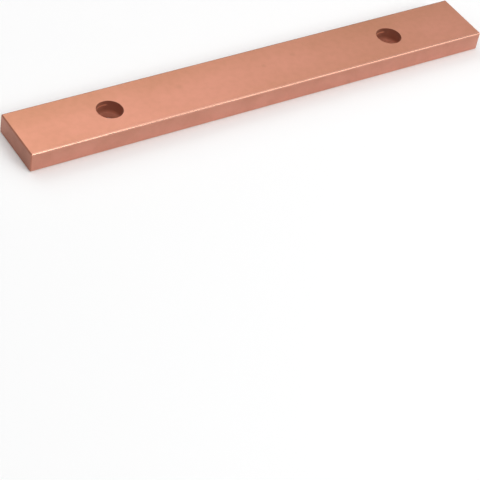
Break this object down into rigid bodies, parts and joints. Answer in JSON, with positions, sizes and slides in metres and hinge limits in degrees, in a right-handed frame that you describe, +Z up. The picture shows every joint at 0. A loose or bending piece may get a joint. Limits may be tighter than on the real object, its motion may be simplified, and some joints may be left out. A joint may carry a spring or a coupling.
{
  "type": "copper busbar",
  "caption": "Flat bare copper bar of rounded rectangular section, cut square and drilled near each end for bolts, that carries and shares heavy current.",
  "frame": {"origin": "middle of the bar's underside, on the surface that it lies on", "axes": "+X along the bar's length, +Y across its width, +Z up through its thickness and along the bolt holes"},
  "size_m": [0.25, 0.03, 0.01],
  "materials": {
    "copper": "bare drawn copper, satin, with sawn ends and drilled holes"
  },
  "bodies": {
    "root": {"busbar": "copper"}
  },
  "joints": []
}
